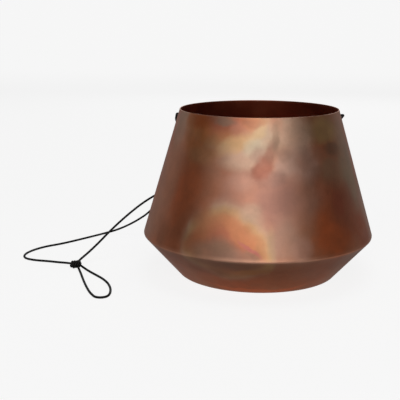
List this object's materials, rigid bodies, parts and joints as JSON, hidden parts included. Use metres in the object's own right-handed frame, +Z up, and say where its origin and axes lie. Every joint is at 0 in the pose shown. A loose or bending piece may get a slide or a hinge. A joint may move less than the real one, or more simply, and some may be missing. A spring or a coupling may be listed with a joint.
{
  "type": "hanging planter",
  "caption": "Sheet-metal hanging planter of two cones meeting at a sharp belt, with a narrow open mouth, a flat base and a knotted cord with a hanging loop.",
  "frame": {"origin": "centre of the base disc's underside, on the surface the pot stands on", "axes": "+Z up along the pot's axis, +X towards the right cord hole, -Y the front"},
  "size_m": [0.4755, 0.3132, 0.214],
  "materials": {
    "tinted_copper": "copper-coloured sheet, heat-tinted, satin",
    "solder": "darkened solder, dull",
    "black_cord": "waxed cotton cord, black"
  },
  "bodies": {
    "pot": {"upper_wall": "tinted_copper", "lower_wall": "tinted_copper", "base_disc": "tinted_copper", "belt_solder": "solder", "base_solder": "solder", "upper_seam_bead": "solder", "lower_seam_bead": "solder", "left_cord_leg": "black_cord", "right_cord_leg": "black_cord", "hanging_loop": "black_cord", "loop_knot": "black_cord"},
    "left_cord_end": {"left_stopper_knot": "black_cord"},
    "right_cord_end": {"right_stopper_knot": "black_cord"}
  },
  "joints": [
    {"name": "left_cord_end_slide", "type": "slide", "parent": "pot", "child": "left_cord_end", "axis": [-0.959, 0, 0.2833], "range_m": [0, 0.006], "deforming": ["left_cord_leg"]},
    {"name": "right_cord_end_slide", "type": "slide", "parent": "pot", "child": "right_cord_end", "axis": [0.959, 0, 0.2833], "range_m": [0, 0.006], "deforming": ["right_cord_leg"]}
  ]
}
